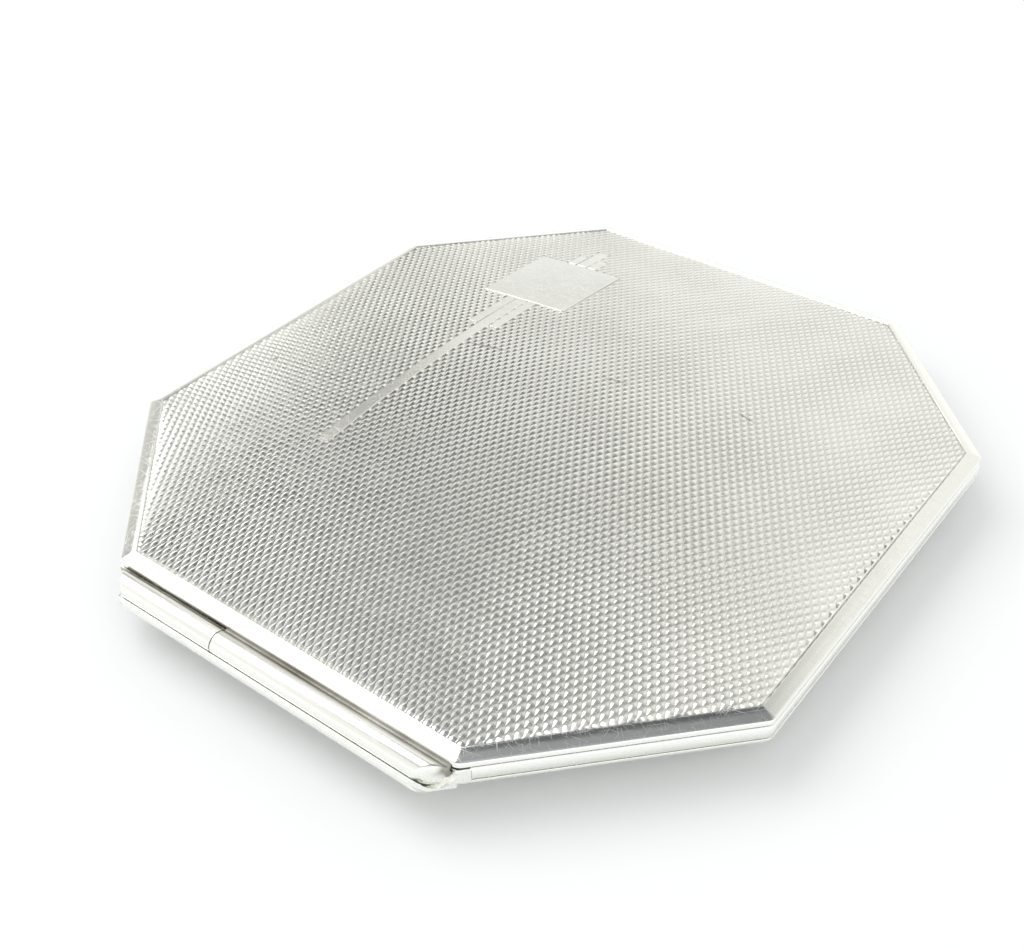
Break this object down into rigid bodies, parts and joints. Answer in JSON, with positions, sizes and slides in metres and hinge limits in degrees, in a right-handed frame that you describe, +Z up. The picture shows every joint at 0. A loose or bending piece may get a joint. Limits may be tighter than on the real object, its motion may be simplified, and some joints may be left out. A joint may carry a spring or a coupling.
{
  "type": "powder compact",
  "caption": "Flat octagonal powder compact with a domed patterned lid on a rear barrel hinge, a front catch, a mirror, a hinged inner lid over pressed powder, and a puff.",
  "frame": {"origin": "centre of the flat that the closed compact rests on", "axes": "+Z up through the lid, +Y towards the front catch, -Y towards the hinge edge, +X to the right seen from the hinge edge"},
  "size_m": [0.0762, 0.0848, 0.0104],
  "materials": {
    "silver": "engine-turned and polished, lightly worn sterling silver",
    "silver_plain": "polished sterling silver with fine scratches",
    "gilt": "satin gold wash over silver",
    "steel": "drawn nickel silver and spring steel",
    "mirror_glass": "silvered glass",
    "card": "dark packing card",
    "refill_metal": "thin pressed aluminium",
    "powder": "pressed face powder",
    "velour": "soft velour pile",
    "satin": "woven satin"
  },
  "bodies": {
    "base": {"base_pan": "silver", "base_rim": "silver_plain", "base_bezel": "gilt", "hinge_cradle": "silver_plain", "base_knuckle": "silver_plain", "hinge_pin": "steel", "powder_deck": "gilt", "powder_well": "gilt", "refill_pan": "refill_metal", "powder_cake": "powder", "deck_knuckles": "gilt", "inner_hinge_pin": "steel", "catch_spring": "steel", "catch_guide": "gilt", "guide_rivets": "steel"},
    "catch": {"push_piece": "silver_plain"},
    "inner_lid_body": {"inner_lid": "gilt", "inner_lid_knuckle": "gilt", "lift_tab": "gilt"},
    "puff": {"puff_pad": "velour", "puff_back": "satin", "puff_strap": "satin"},
    "lid": {"lid_cover": "silver", "lid_knuckle": "silver_plain", "lid_tongue": "gilt", "mirror_frame": "gilt", "mirror_pad": "card", "mirror_glass": "mirror_glass"}
  },
  "joints": [
    {"name": "lid_hinge", "type": "hinge", "parent": "base", "child": "lid", "pos_m": [0, -0.04175, 0.00495], "axis": [1, 0, 0], "range_deg": [0, 125]},
    {"name": "inner_lid_hinge", "type": "hinge", "parent": "base", "child": "inner_lid_body", "pos_m": [0, -0.0289, 0.00415], "axis": [1, 0, 0], "range_deg": [0, 90]},
    {"name": "puff_lift", "type": "slide", "parent": "inner_lid_body", "child": "puff", "axis": [0, 0, 1], "range_m": [0, 0.008]},
    {"name": "catch_press", "type": "slide", "parent": "base", "child": "catch", "axis": [0, -1, 0], "range_m": [0, 0.0006], "stiffness_N_per_m": 1500, "springref_m": -0.0006, "deforming": ["catch_spring"]}
  ],
  "couplings": [
    {"joint": "inner_lid_hinge", "follows": "lid_hinge", "ratio": 0.7},
    {"joint": "puff_lift", "follows": "lid_hinge", "m_per_rad": 0.0036}
  ]
}
